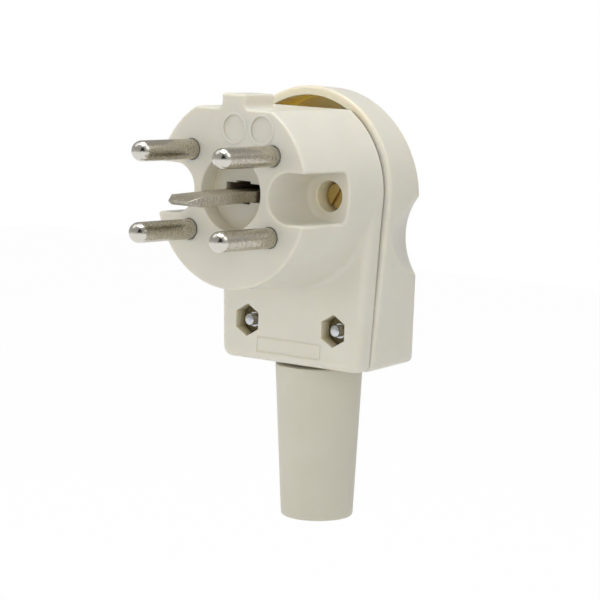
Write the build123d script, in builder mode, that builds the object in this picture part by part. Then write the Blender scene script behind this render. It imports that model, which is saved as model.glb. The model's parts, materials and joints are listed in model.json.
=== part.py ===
"""Angled three-phase plug: four round pins, a flat earth blade, a two-piece housing and a cable sleeve.

Millimetres. The origin is the centre of the contact face: the pins point along -Y, the housing
lies behind the face along +Y, and the cable sleeve hangs along -Z.
"""

import os
from math import cos, radians, sin, tan

from build123d import *

os.makedirs("parts", exist_ok=True)

# Contact pins
pin_dia = 5.0
pin_pitch_x = 24.7
pin_pitch_z = 19.3
pin_reach = 20.7
pin_neck_dia = 4.7
pin_hole_gap = 0.12
collar_dia = 8.4
collar_length = 2.5
pin_head_dia = 7.2
pin_head_length = 5.0

# Earth blade, hanging down a little in its slot and sitting low in it
blade_width = 9.2
blade_thickness = 2.4
blade_reach = 19.0
blade_droop = 1.7
blade_drop = 0.6
blade_tip_length = 3.0
blade_ridge_width = 6.0
blade_ridge_thickness = 0.4
blade_shoulder_width = 15.0
blade_shoulder_gap = 0.1
earth_block_width = 9.0
earth_block_height = 7.0
earth_block_length = 5.6

# Contact boss of the front housing
face_radius = 23.2
draft = 1.05
face_round = 0.6
flat_height = 20.15
key_width = 7.2
key_height = 3.5
key_length = 10.7
key_round = 0.4
key_base_round = 1.3
mark_dia = 6.3
mark_depth = 0.3
mark_x = 0.4
mark_pitch = 8.4
mark_height = 15.5

# Earth recess and its notched slot
recess_radius = 9.1
recess_depth = 5.0
recess_floor = 3.0
recess_round = 0.4
slot_width = 10.6
slot_height = 4.4
notch_width = 4.4
notch_height = 5.5
chamber_width = 12.0
chamber_height = 7.0

# Side channels with the screw wells
channel_reach = 11.4
channel_height = 12.2
channel_depth = 16.2
channel_round = 1.3
well_dia = 7.5
well_x = 17.4
well_depth = 5.6
well_chamfer = 0.2
side_post_dia = 10.4

# Front housing, lower plate and wall
parting_depth = 30.0
parting_groove = 0.3
foot_depth = 4.9
plate_round = 1.8
boss_base_round = 1.6
foot_drop = 43.5
foot_corner = 2.6
foot_wall = 3.0
inner_corner = 1.0
housing_lean = 3.0
block_inset = 0.1
wall = 2.3
contact_floor_depth = 18.0
face_wall = 3.2
core_width = 15.0
frame_width = 20.1
frame_height = 4.0
frame_lift = 4.2
frame_line = 0.4
frame_depth = 0.15

# Rear cover
cover_step = 1.7
cover_lean = 4.5
cover_draft = 3.8
cover_wall = 2.2
cover_depth = 13.95
back_lean = 6.8
back_round = 1.4
pocket_wall = 2.3
pocket_floor_drop = 1.6
scoop_radius = 16.5
scoop_drop = 10.8
scoop_start = 3.2
scoop_lean = 21.8
scoop_round = 0.6
cover_post_dia = 9.2
rim_round = 0.9

# Contact retainer plate
retainer_thickness = 2.5
retainer_gap = 0.3
retainer_screw_height = 14.7
retainer_boss_dia = 5.8

# Cable sleeve on its own axis, which leans back
sleeve_setback = 7.8
sleeve_lean = 2.3
sleeve_gap = 0.5
sleeve_length = 38.7
sleeve_top_dia = 21.9
sleeve_end_dia = 18.05
sleeve_end_round = 0.8
shoulder_round = 0.5
sleeve_bore_dia = 11.2
neck_dia = 14.0
neck_gap = 0.2
flange_dia = 16.2
flange_thickness = 1.4
flange_gap = 0.25
tongue_length = 3.0
tongue_thickness = 2.6
tongue_gap = 0.2

# Cord clamp and its nut pockets
clamp_x = 13.4
clamp_lift = 9.8
clamp_cable_dia = 11.2
clamp_arch = 1.5
clamp_height = 7.4
clamp_ear_thickness = 2.5
clamp_ear_reach = 5.0
clamp_post_dia = 11.0
clamp_post_length = 4.0
saddle_width = 16.0
saddle_step = 2.0
nut_across_flats = 7.0
nut_thickness = 3.2
nut_gap = 0.05
nut_pocket_depth = 6.4
clamp_tip_inset = 0.6

# Screws: thread diameter, head diameter, head height
thread_gap = 0.05
clearance_gap = 0.2
slot_share = 0.45
screw_slot_width = 0.9
tip_chamfer = 0.4
housing_thread, housing_head, housing_head_height = 3.5, 6.0, 2.2
housing_slot_angle = 59.0
insert_dia = 5.6
insert_length = 8.0
insert_hole_end = 1.2
clamp_thread, clamp_head, clamp_head_height = 4.0, 7.0, 2.6
terminal_thread, terminal_head, terminal_head_height = 3.5, 6.4, 2.2
terminal_screw_length = 6.0
wire_plate_side = 7.6
wire_plate_thickness = 1.0
wire_plate_corner = 1.0
retainer_thread, retainer_head, retainer_head_height = 3.0, 5.4, 1.8
retainer_screw_length = 8.0

# Depths behind the contact face
plate_depth = parting_depth - foot_depth
back_depth = parting_depth + cover_depth
scoop_start_depth = parting_depth + scoop_start
sleeve_depth = parting_depth + sleeve_setback
well_seat_depth = channel_depth + well_depth
collar_back_depth = contact_floor_depth + collar_length
retainer_back_depth = collar_back_depth + retainer_thickness
pin_back_depth = collar_back_depth + pin_head_length
nut_seat_depth = plate_depth + nut_pocket_depth
clamp_post_depth = nut_seat_depth + clamp_post_length
clamp_seat_depth = clamp_post_depth + clamp_ear_thickness
clamp_tip_depth = plate_depth + clamp_tip_inset
saddle_depth = clamp_post_depth - saddle_step
cable_depth = sleeve_depth - clamp_lift * tan(radians(sleeve_lean))

# Radii, heights and lengths that follow from the sizes above
parting_radius = face_radius + parting_depth * tan(radians(draft))
inner_radius = parting_radius - wall
inner_flat_height = flat_height - wall
inner_drop = foot_drop - foot_wall
frame_drop = foot_drop - frame_lift
clamp_drop = foot_drop - clamp_lift
cover_radius = parting_radius + cover_step
cover_block_depth = cover_depth + foot_drop * tan(radians(back_lean)) + cover_wall
pocket_radius = cover_radius - pocket_wall
pocket_floor_height = flat_height - pocket_floor_drop
neck_hole_radius = neck_dia / 2 + neck_gap
flange_radius = flange_dia / 2
cover_floor_rise = (sleeve_depth + flange_radius - parting_depth) * tan(radians(cover_draft))
flange_lift = foot_wall + cover_floor_rise + flange_gap - flange_radius * sin(radians(sleeve_lean))
blade_body_reach = blade_reach + recess_depth - blade_tip_length
shoulder_start = contact_floor_depth - recess_depth + blade_shoulder_gap
shoulder_end = collar_back_depth - recess_depth - blade_shoulder_gap
earth_back = shoulder_end + earth_block_length
earth_shift = blade_drop + earth_back * sin(radians(blade_droop))
housing_screw_length = parting_depth - well_seat_depth + insert_length

# Places across the plug, as x and z
pin_places = {
    "pin_upper_left": (-pin_pitch_x / 2, pin_pitch_z / 2),
    "pin_upper_right": (pin_pitch_x / 2, pin_pitch_z / 2),
    "pin_lower_left": (-pin_pitch_x / 2, -pin_pitch_z / 2),
    "pin_lower_right": (pin_pitch_x / 2, -pin_pitch_z / 2),
}
well_places = [(-well_x, 0), (well_x, 0)]
clamp_places = [(-clamp_x, -clamp_drop), (clamp_x, -clamp_drop)]
retainer_places = [(0, -retainer_screw_height), (0, retainer_screw_height)]


def depth_plane(depth):
    """Plane across the plug at a depth behind the contact face; its normal points to the front."""
    return Plane.XZ.offset(-depth)


back_plane = Plane((0, back_depth, 0), (1, 0, 0), (0, cos(radians(back_lean)), sin(radians(back_lean))))
inner_back_plane = back_plane.offset(-cover_wall)
sleeve_down = Vector(0, sin(radians(sleeve_lean)), -cos(radians(sleeve_lean)))
sleeve_origin = Vector(0, sleeve_depth, -foot_drop)
sleeve_axis = Axis(sleeve_origin, sleeve_down)
sleeve_half = Plane(sleeve_origin, (1, 0, 0), (0, -sleeve_down.Z, sleeve_down.Y))
sleeve_section = Plane(sleeve_origin, (1, 0, 0), sleeve_down)
blade_out = Vector(0, -cos(radians(blade_droop)), -sin(radians(blade_droop)))
blade_origin = Vector(0, recess_depth, -blade_drop)


def rear_facing(x, depth, z):
    """Plane at a point inside the plug whose normal points to the rear."""
    return Plane((x, depth, z), (1, 0, 0), (0, 1, 0))


def front_facing(x, depth, z):
    """Plane at a point inside the plug whose normal points to the front."""
    return Plane((x, depth, z), (1, 0, 0), (0, -1, 0))


def blade_plane(reach):
    """Plane across the earth blade at a reach from the recess floor; its normal points inwards."""
    return Plane(blade_origin + blade_out * reach, (1, 0, 0), -blade_out)


def arch_outline(radius, lean, drop, corner):
    """Round head whose straight sides lean inwards to a flat foot with rounded corners."""
    foot_x = radius / cos(radians(lean)) - drop * tan(radians(lean))
    with BuildSketch() as outline:
        with BuildLine():
            head = CenterArc((0, 0), radius, -lean, 180 + 2 * lean)
            Polyline(head @ 1, (-foot_x, -drop), (foot_x, -drop), head @ 0)
        make_face()
        fillet(outline.vertices().group_by(Axis.Y)[0], corner)
    return outline.sketch


def region_above(height):
    """Sketch region above a height, for cutting an outline level."""
    with BuildSketch() as region:
        with Locations((0, height)):
            Rectangle(2 * cover_radius, cover_radius, align=(Align.CENTER, Align.MIN))
    return region.sketch


def beside_key(edge):
    """True for an edge that runs along one side of the key rib."""
    middle = edge.center()
    at_side = abs(abs(middle.X) - key_width / 2) < key_round / 2
    return at_side and key_round < middle.Y < key_length - key_round


def in_channel_mouth(edge):
    """True for an edge where a side channel opens through the boss's outer wall."""
    middle = edge.center()
    at_wall = Vector(middle.X, 0, middle.Z).length > face_radius - wall / 2
    at_channel = abs(middle.Z) < (channel_height + wall) / 2
    return at_wall and at_channel and 0 < middle.Y < channel_depth + wall / 2


def round_channel_floor(edge):
    """True for an edge where a side channel's wall meets its floor."""
    middle = edge.center()
    at_floor = abs(middle.Y - channel_depth) < channel_round / 2
    in_channel = abs(middle.Z) < (channel_height + wall) / 2 and abs(middle.X) > channel_reach / 2
    at_wall = Vector(middle.X, 0, middle.Z).length > face_radius - wall / 2
    return at_floor and in_channel and not at_wall


def scoop_pair(radius):
    """Two leaning cylinders that cut the grip scoops, one on each side of the rear cover."""
    lean = radians(scoop_lean)
    side_x = cover_radius / cos(radians(cover_lean)) - scoop_drop * tan(radians(cover_lean))
    side_x -= (scoop_start_depth - parting_depth) * tan(radians(cover_draft))
    start = Vector(side_x, scoop_start_depth, -scoop_drop)
    centre = start + Vector(cos(lean), sin(lean), 0) * scoop_radius
    with BuildPart() as pair:
        with BuildSketch(Plane(centre, (0, 0, 1), (-sin(lean), cos(lean), 0))):
            Circle(radius)
        extrude(amount=back_depth, both=True)
        mirror(about=Plane.YZ)
    return pair.part


def in_scoop(face):
    """True for a cylindrical face that lies in a grip scoop."""
    return abs(face.radius - scoop_radius) < scoop_round


def slotted_screw(plane, thread, length, head, head_height, slot_angle):
    """Cheese-head screw: head seated on the plane, shank against the plane's normal."""
    with BuildPart() as screw:
        with BuildSketch(plane):
            Circle(thread / 2)
        extrude(amount=-length)
        chamfer(screw.edges().sort_by(Axis(plane.origin, plane.z_dir))[0], tip_chamfer)
        with BuildSketch(plane):
            Circle(head / 2)
        extrude(amount=head_height)
        with BuildSketch(plane.offset(head_height)):
            Rectangle(2 * head, screw_slot_width, rotation=slot_angle)
        extrude(amount=-slot_share * head_height, mode=Mode.SUBTRACT)
    return screw.part


# Front housing: drafted boss on an arched foot block, with the flat top and the key rib
with BuildPart() as foot_block:
    with BuildSketch(depth_plane(parting_depth)):
        add(arch_outline(parting_radius - block_inset, housing_lean, foot_drop, foot_corner))
    extrude(amount=parting_depth - plate_depth, taper=draft)
    fillet(foot_block.faces().sort_by(Axis.Y)[0].edges(), plate_round)

with BuildPart() as front_housing:
    with BuildSketch(Plane.XY):
        with BuildLine():
            Polyline(
                (0, 0), (face_radius, 0), (parting_radius, parting_depth), (0, parting_depth), close=True
            )
        make_face()
    revolve(axis=Axis.Y)
    add(foot_block.part)
    split(bisect_by=Plane.XY.offset(flat_height), keep=Keep.BOTTOM)
    plate_edges = front_housing.edges().filter_by_position(Axis.Y, plate_depth, plate_depth)
    fillet(plate_edges.filter_by(GeomType.CIRCLE).sort_by(SortBy.LENGTH)[-1], boss_base_round)
    with BuildSketch(depth_plane(0)):
        with Locations((0, flat_height)):
            Rectangle(key_width, 2 * key_height)
    extrude(amount=-key_length)
    fillet(front_housing.edges().filter_by(beside_key).group_by(Axis.Z)[0], key_base_round)
    fillet(front_housing.edges().filter_by(beside_key).group_by(Axis.Z)[-1], key_round)

    # Side channels, open to the side, then one soft edge round the contact face and the channels' mouths
    with BuildSketch(depth_plane(0)):
        with Locations((channel_reach + channel_height / 2, 0)):
            Circle(channel_height / 2)
        with Locations((channel_reach + channel_height / 2 + face_radius / 2, 0)):
            Rectangle(face_radius, channel_height)
        mirror(about=Plane.YZ)
    extrude(amount=-channel_depth, mode=Mode.SUBTRACT)
    fillet(front_housing.edges().filter_by(round_channel_floor), channel_round)
    face_edges = front_housing.faces().sort_by(Axis.Y)[0].outer_wire().edges()
    mouth_edges = front_housing.edges().filter_by(in_channel_mouth)
    fillet(face_edges + mouth_edges, face_round)

    # Earth recess with its softened rim
    with BuildSketch(depth_plane(0)):
        Circle(recess_radius)
    extrude(amount=-recess_depth, mode=Mode.SUBTRACT)
    fillet(front_housing.faces().sort_by(Axis.Y)[0].inner_wires().edges(), recess_round)

    # Round marks on the face
    with BuildSketch(depth_plane(0)):
        with Locations((mark_x, mark_height), (mark_x + mark_pitch, mark_height)):
            Circle(mark_dia / 2)
    extrude(amount=-mark_depth, mode=Mode.SUBTRACT)

    # Notched slot, and the chamber behind it
    with BuildSketch(depth_plane(recess_depth)):
        Rectangle(slot_width, slot_height)
        Rectangle(notch_width, notch_height)
    extrude(amount=-recess_floor, mode=Mode.SUBTRACT)
    with BuildSketch(depth_plane(recess_depth + recess_floor)):
        Rectangle(chamber_width, chamber_height)
    extrude(amount=-(contact_floor_depth - recess_depth - recess_floor), mode=Mode.SUBTRACT)

    # Contact space, open to the rear, round the two side posts
    with BuildSketch(depth_plane(contact_floor_depth)):
        Circle(inner_radius)
        add(region_above(inner_flat_height), mode=Mode.SUBTRACT)
        with Locations(*well_places):
            Circle(side_post_dia / 2, mode=Mode.SUBTRACT)
    extrude(amount=-(parting_depth - contact_floor_depth), mode=Mode.SUBTRACT)

    # Cored pockets behind the face, above and below the recess, then the retainer's bosses between them
    with BuildSketch(depth_plane(face_wall)):
        Rectangle(core_width, 2 * inner_radius)
        Circle(inner_radius, mode=Mode.INTERSECT)
        Circle(recess_radius + wall, mode=Mode.SUBTRACT)
        add(region_above(inner_flat_height), mode=Mode.SUBTRACT)
        with Locations(*retainer_places):
            Circle(retainer_boss_dia / 2, mode=Mode.SUBTRACT)
    extrude(amount=-(contact_floor_depth - face_wall), mode=Mode.SUBTRACT)
    with BuildSketch(depth_plane(collar_back_depth)):
        with Locations(*retainer_places):
            Circle(retainer_boss_dia / 2)
    extrude(amount=collar_length)

    # Cable space behind the lower plate, then the clamp posts and the cable saddle that stand in it
    with BuildSketch(depth_plane(plate_depth + wall)):
        add(arch_outline(inner_radius, housing_lean, inner_drop, inner_corner))
        add(region_above(inner_flat_height), mode=Mode.SUBTRACT)
        with Locations(*well_places):
            Circle(side_post_dia / 2, mode=Mode.SUBTRACT)
    extrude(amount=-(parting_depth - plate_depth - wall), mode=Mode.SUBTRACT)
    with BuildSketch(depth_plane(clamp_post_depth)):
        with Locations(*clamp_places):
            Circle(clamp_post_dia / 2)
    extrude(amount=clamp_post_depth - plate_depth - wall)
    with BuildSketch(depth_plane(saddle_depth)):
        with Locations((0, -clamp_drop)):
            Rectangle(saddle_width, clamp_height)
    extrude(amount=saddle_depth - plate_depth - wall)

    # Tongue that closes the rear cover's sleeve opening
    with BuildSketch(Plane.XY.offset(-inner_drop)):
        with Locations((0, parting_depth)):
            Rectangle(2 * (neck_hole_radius - tongue_gap), tongue_length, align=(Align.CENTER, Align.MIN))
    extrude(amount=-tongue_thickness)
    with BuildSketch(sleeve_section):
        Circle(neck_hole_radius)
    extrude(amount=flange_lift, both=True, mode=Mode.SUBTRACT)
    with BuildSketch(sleeve_section.offset(-clamp_lift)):
        Circle(clamp_cable_dia / 2)
    extrude(amount=clamp_height, both=True, mode=Mode.SUBTRACT)

    # Holes: pins, retainer screws, screw wells, nut pockets and clamp screws
    with BuildSketch(depth_plane(0)):
        with Locations(*pin_places.values()):
            Circle(pin_dia / 2 + pin_hole_gap)
    extrude(amount=-contact_floor_depth, mode=Mode.SUBTRACT)
    with BuildSketch(depth_plane(retainer_back_depth)):
        with Locations(*retainer_places):
            Circle(retainer_thread / 2 + thread_gap)
    extrude(amount=retainer_screw_length + tip_chamfer, mode=Mode.SUBTRACT)
    with BuildSketch(depth_plane(channel_depth)):
        with Locations(*well_places):
            Circle(well_dia / 2)
    extrude(amount=-(well_seat_depth - channel_depth), mode=Mode.SUBTRACT)
    floor_edges = front_housing.edges().filter_by_position(Axis.Y, channel_depth, channel_depth)
    rims = floor_edges.filter_by(GeomType.CIRCLE).sort_by(SortBy.RADIUS)[: len(well_places)]
    chamfer(rims, well_chamfer)
    with BuildSketch(depth_plane(well_seat_depth)):
        with Locations(*well_places):
            Circle(housing_thread / 2 + clearance_gap)
    extrude(amount=-(parting_depth - well_seat_depth), mode=Mode.SUBTRACT)
    with BuildSketch(depth_plane(plate_depth)):
        with Locations(*clamp_places):
            RegularPolygon(nut_across_flats / 2 + nut_gap, 6, major_radius=False, rotation=30)
    extrude(amount=-(nut_seat_depth - plate_depth), mode=Mode.SUBTRACT)
    with BuildSketch(depth_plane(nut_seat_depth)):
        with Locations(*clamp_places):
            Circle(clamp_thread / 2 + clearance_gap)
    extrude(amount=-(clamp_post_depth - nut_seat_depth), mode=Mode.SUBTRACT)

    # Bare frame line on the lower plate, and the shadow groove along the parting line
    with BuildSketch(depth_plane(plate_depth)):
        with Locations((0, -frame_drop)):
            Rectangle(frame_width, frame_height)
            Rectangle(frame_width - 2 * frame_line, frame_height - 2 * frame_line, mode=Mode.SUBTRACT)
    extrude(amount=-frame_depth, mode=Mode.SUBTRACT)
    with BuildSketch(depth_plane(parting_depth)):
        add(arch_outline(cover_radius, housing_lean, foot_drop + wall, foot_corner))
        add(
            arch_outline(
                parting_radius - parting_groove, housing_lean, foot_drop - parting_groove, foot_corner
            ),
            mode=Mode.SUBTRACT,
        )
    extrude(amount=parting_groove, mode=Mode.SUBTRACT)
front_housing.part.label = "front_housing"
export_step(front_housing.part, "parts/front_housing.step")

# Rear cover: drafted arched shell under a leaning back
with BuildPart() as cover_space:
    with BuildSketch(depth_plane(parting_depth)):
        add(arch_outline(cover_radius - cover_wall, cover_lean, inner_drop, inner_corner))
        add(region_above(pocket_floor_height - cover_wall), mode=Mode.SUBTRACT)
    extrude(amount=-cover_block_depth, taper=cover_draft)
    split(bisect_by=inner_back_plane, keep=Keep.BOTTOM)
    add(scoop_pair(scoop_radius + cover_wall), mode=Mode.SUBTRACT)
    with BuildSketch(depth_plane(parting_depth)):
        with Locations(*well_places):
            Circle(cover_post_dia / 2)
    extrude(amount=-cover_block_depth, mode=Mode.SUBTRACT)

with BuildPart() as finger_pocket:
    with BuildSketch(depth_plane(parting_depth)):
        Circle(pocket_radius)
        add(region_above(pocket_floor_height), mode=Mode.INTERSECT)
    extrude(amount=-cover_depth)
    split(bisect_by=inner_back_plane, keep=Keep.BOTTOM)

with BuildPart() as rear_cover:
    with BuildSketch(depth_plane(parting_depth)):
        add(arch_outline(cover_radius, cover_lean, foot_drop, foot_corner))
    extrude(amount=-cover_block_depth, taper=cover_draft)
    split(bisect_by=back_plane, keep=Keep.BOTTOM)
    fillet(rear_cover.faces().sort_by(Axis.Y)[-1].edges(), back_round)
    fillet(rear_cover.faces().sort_by(Axis.Y)[0].edges(), rim_round)
    add(scoop_pair(scoop_radius), mode=Mode.SUBTRACT)
    scoop_faces = rear_cover.faces().filter_by(GeomType.CYLINDER).filter_by(in_scoop)
    fillet(scoop_faces.edges(), scoop_round)
    add(cover_space.part, mode=Mode.SUBTRACT)
    add(finger_pocket.part, mode=Mode.SUBTRACT)
    with BuildSketch(sleeve_section):
        Circle(neck_hole_radius)
        Rectangle(2 * neck_hole_radius, sleeve_depth, align=(Align.CENTER, Align.MIN))
    extrude(amount=flange_lift, both=True, mode=Mode.SUBTRACT)
    with BuildSketch(depth_plane(parting_depth)):
        with Locations(*well_places):
            Circle(insert_dia / 2)
    extrude(amount=-(insert_length + insert_hole_end), mode=Mode.SUBTRACT)
rear_cover.part.label = "rear_cover"
export_step(rear_cover.part, "parts/rear_cover.step")

# Contact pins: domed tip, thinner neck behind the face, collar on the contact floor, terminal head
for pin_name, (pin_x, pin_z) in pin_places.items():
    with BuildPart() as pin:
        with BuildSketch(Plane((pin_x, 0, pin_z), (1, 0, 0), (0, 0, 1))):
            with BuildLine():
                dome = CenterArc((0, pin_dia / 2 - pin_reach), pin_dia / 2, -90, 90)
                Polyline(
                    dome @ 1,
                    (pin_dia / 2, 0),
                    (pin_neck_dia / 2, 0),
                    (pin_neck_dia / 2, contact_floor_depth),
                    (collar_dia / 2, contact_floor_depth),
                    (collar_dia / 2, collar_back_depth),
                    (pin_head_dia / 2, collar_back_depth),
                    (pin_head_dia / 2, pin_back_depth),
                    (0, pin_back_depth),
                    dome @ 0,
                )
            make_face()
        revolve(axis=Axis((pin_x, 0, pin_z), (0, 1, 0)))
        with BuildSketch(rear_facing(pin_x, pin_back_depth, pin_z)):
            Circle(terminal_thread / 2 + thread_gap)
        extrude(amount=-terminal_screw_length, mode=Mode.SUBTRACT)
    pin.part.label = pin_name
    export_step(pin.part, f"parts/{pin_name}.step")

# Earth blade: bevelled tip, shoulders behind the contact floor, terminal block
with BuildPart() as earth_blade:
    with BuildSketch(blade_plane(blade_body_reach)):
        Rectangle(blade_width, blade_thickness)
    extrude(amount=blade_body_reach + shoulder_end)
    with BuildSketch(blade_plane(blade_body_reach)):
        Rectangle(blade_width, blade_thickness)
    with BuildSketch(blade_plane(blade_body_reach + blade_tip_length)):
        Rectangle(blade_ridge_width, blade_ridge_thickness)
    loft()
    with BuildSketch(blade_plane(-shoulder_start)):
        Rectangle(blade_shoulder_width, blade_thickness)
    extrude(amount=shoulder_end - shoulder_start)
    with BuildSketch(blade_plane(-shoulder_end)):
        Rectangle(earth_block_width, earth_block_height)
    extrude(amount=earth_block_length)
    with BuildSketch(blade_plane(-earth_back)):
        Circle(terminal_thread / 2 + thread_gap)
    extrude(amount=-terminal_screw_length, mode=Mode.SUBTRACT)
earth_blade.part.label = "earth_blade"
export_step(earth_blade.part, "parts/earth_blade.step")

# Wire clamp plates and terminal screws, one of each on every contact
terminal_planes = {
    pin_name.replace("pin", "wire_plate"): rear_facing(x, pin_back_depth, z)
    for pin_name, (x, z) in pin_places.items()
}
for plate_name, plate_plane in {**terminal_planes, "wire_plate_earth": blade_plane(-earth_back)}.items():
    with BuildPart() as wire_plate:
        with BuildSketch(plate_plane):
            RectangleRounded(wire_plate_side, wire_plate_side, wire_plate_corner)
            Circle(terminal_thread / 2 + clearance_gap, mode=Mode.SUBTRACT)
        extrude(amount=wire_plate_thickness)
    wire_plate.part.label = plate_name
    export_step(wire_plate.part, f"parts/{plate_name}.step")

terminal_sizes = (terminal_thread, terminal_screw_length, terminal_head, terminal_head_height)
with BuildPart() as terminal_screws:
    for plate_plane in terminal_planes.values():
        add(slotted_screw(plate_plane.offset(wire_plate_thickness), *terminal_sizes, slot_angle=0))
terminal_screws.part.label = "terminal_screws"
export_step(terminal_screws.part, "parts/terminal_screws.step")

earth_screw = slotted_screw(blade_plane(-earth_back - wire_plate_thickness), *terminal_sizes, slot_angle=0)
earth_screw.label = "earth_screw"
export_step(earth_screw, "parts/earth_screw.step")

# Contact retainer: plate over the pin collars and the blade's shoulders, with its two screws
with BuildPart() as contact_retainer:
    with BuildSketch(depth_plane(collar_back_depth)):
        Circle(inner_radius - retainer_gap)
        add(region_above(inner_flat_height - retainer_gap), mode=Mode.SUBTRACT)
        with Locations(*well_places):
            Circle(side_post_dia / 2 + retainer_gap, mode=Mode.SUBTRACT)
        with Locations(*pin_places.values()):
            Circle(pin_head_dia / 2 + clearance_gap, mode=Mode.SUBTRACT)
        with Locations(*retainer_places):
            Circle(retainer_thread / 2 + clearance_gap, mode=Mode.SUBTRACT)
        Rectangle(
            earth_block_width + 2 * retainer_gap,
            earth_block_height + 2 * (earth_shift + retainer_gap),
            mode=Mode.SUBTRACT,
        )
    extrude(amount=-retainer_thickness)
contact_retainer.part.label = "contact_retainer"
export_step(contact_retainer.part, "parts/contact_retainer.step")

with BuildPart() as retainer_screws:
    for x, z in retainer_places:
        add(
            slotted_screw(
                rear_facing(x, retainer_back_depth, z),
                retainer_thread,
                retainer_screw_length,
                retainer_head,
                retainer_head_height,
                slot_angle=0,
            )
        )
retainer_screws.part.label = "retainer_screws"
export_step(retainer_screws.part, "parts/retainer_screws.step")

# Housing screws from the side channels into the rear cover's brass inserts
with BuildPart() as housing_screws:
    for x, z in well_places:
        add(
            slotted_screw(
                front_facing(x, well_seat_depth, z),
                housing_thread,
                housing_screw_length,
                housing_head,
                housing_head_height,
                slot_angle=housing_slot_angle,
            )
        )
housing_screws.part.label = "housing_screws"
export_step(housing_screws.part, "parts/housing_screws.step")

with BuildPart() as cover_inserts:
    with BuildSketch(depth_plane(parting_depth)):
        with Locations(*well_places):
            Circle(insert_dia / 2)
            Circle(housing_thread / 2 + thread_gap, mode=Mode.SUBTRACT)
    extrude(amount=-insert_length)
cover_inserts.part.label = "cover_inserts"
export_step(cover_inserts.part, "parts/cover_inserts.step")

# Cord clamp bridge over the cable, its screws and the nuts in the front pockets
with BuildPart() as cord_clamp:
    with BuildSketch(Plane.XY.offset(-clamp_drop)):
        with Locations((0, clamp_post_depth + clamp_ear_thickness / 2)):
            Rectangle(2 * (clamp_x + clamp_ear_reach), clamp_ear_thickness)
        with Locations((0, cable_depth)):
            Circle(clamp_cable_dia / 2 + clamp_arch)
            Circle(clamp_cable_dia / 2, mode=Mode.SUBTRACT)
        with Locations((0, clamp_post_depth / 2)):
            Rectangle(2 * clamp_x, clamp_post_depth, mode=Mode.SUBTRACT)
    extrude(amount=clamp_height / 2, both=True)
    with BuildSketch(depth_plane(clamp_post_depth)):
        with Locations(*clamp_places):
            Circle(clamp_thread / 2 + clearance_gap)
    extrude(amount=-clamp_ear_thickness, mode=Mode.SUBTRACT)
cord_clamp.part.label = "cord_clamp"
export_step(cord_clamp.part, "parts/cord_clamp.step")

with BuildPart() as clamp_screws:
    for x, z in clamp_places:
        add(
            slotted_screw(
                rear_facing(x, clamp_seat_depth, z),
                clamp_thread,
                clamp_seat_depth - clamp_tip_depth,
                clamp_head,
                clamp_head_height,
                slot_angle=0,
            )
        )
clamp_screws.part.label = "clamp_screws"
export_step(clamp_screws.part, "parts/clamp_screws.step")

with BuildPart() as clamp_nuts:
    with BuildSketch(depth_plane(nut_seat_depth)):
        with Locations(*clamp_places):
            RegularPolygon(nut_across_flats / 2, 6, major_radius=False, rotation=30)
            Circle(clamp_thread / 2 + thread_gap, mode=Mode.SUBTRACT)
    extrude(amount=nut_thickness)
clamp_nuts.part.label = "clamp_nuts"
export_step(clamp_nuts.part, "parts/clamp_nuts.step")

# Cable sleeve: tapered tube with a neck and a flange inside the housing
with BuildPart() as cable_sleeve:
    with BuildSketch(sleeve_half) as sleeve_profile:
        with BuildLine():
            Polyline(
                (sleeve_bore_dia / 2, -flange_lift - flange_thickness),
                (flange_radius, -flange_lift - flange_thickness),
                (flange_radius, -flange_lift),
                (neck_dia / 2, -flange_lift),
                (neck_dia / 2, sleeve_gap),
                (sleeve_top_dia / 2, sleeve_gap),
                (sleeve_end_dia / 2, sleeve_gap + sleeve_length),
                (sleeve_bore_dia / 2, sleeve_gap + sleeve_length),
                close=True,
            )
        make_face()
        fillet(sleeve_profile.vertices().group_by(Axis.Y)[-1], sleeve_end_round)
        fillet(sleeve_profile.vertices().sort_by(Axis.X)[-1], shoulder_round)
    revolve(axis=sleeve_axis)
cable_sleeve.part.label = "cable_sleeve"
export_step(cable_sleeve.part, "parts/cable_sleeve.step")
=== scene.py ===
import json
from math import cos, pi, radians, sin, tan

import bmesh
import bpy
import numpy as np
from mathutils import Matrix, Vector


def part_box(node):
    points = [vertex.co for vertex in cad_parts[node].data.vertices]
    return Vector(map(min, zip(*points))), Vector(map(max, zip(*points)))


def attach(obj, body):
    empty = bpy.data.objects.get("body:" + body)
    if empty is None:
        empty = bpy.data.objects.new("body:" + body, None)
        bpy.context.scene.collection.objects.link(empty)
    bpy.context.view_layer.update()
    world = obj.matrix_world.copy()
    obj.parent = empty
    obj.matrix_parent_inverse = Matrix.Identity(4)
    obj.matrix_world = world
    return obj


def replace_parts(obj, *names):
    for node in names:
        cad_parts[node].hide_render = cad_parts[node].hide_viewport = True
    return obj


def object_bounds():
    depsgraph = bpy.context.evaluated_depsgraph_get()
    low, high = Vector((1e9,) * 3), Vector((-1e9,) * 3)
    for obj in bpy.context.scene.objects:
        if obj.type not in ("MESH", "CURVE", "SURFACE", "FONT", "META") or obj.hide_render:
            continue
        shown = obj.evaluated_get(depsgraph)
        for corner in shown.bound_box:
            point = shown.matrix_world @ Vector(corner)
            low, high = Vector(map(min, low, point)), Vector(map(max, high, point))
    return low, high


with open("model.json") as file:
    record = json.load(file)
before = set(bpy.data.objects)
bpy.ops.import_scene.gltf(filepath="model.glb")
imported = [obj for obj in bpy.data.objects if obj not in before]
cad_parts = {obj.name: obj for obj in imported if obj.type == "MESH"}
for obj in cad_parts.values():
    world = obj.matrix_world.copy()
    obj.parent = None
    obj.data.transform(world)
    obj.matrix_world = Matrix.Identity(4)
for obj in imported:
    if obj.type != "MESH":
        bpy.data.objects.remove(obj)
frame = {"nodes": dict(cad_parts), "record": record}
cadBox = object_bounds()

mm = 0.001
clampSpot = (13.4, -33.7)  # x and z of the right clamp screw, its nut and pocket; the left ones mirror it
scene = bpy.context.scene
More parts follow.
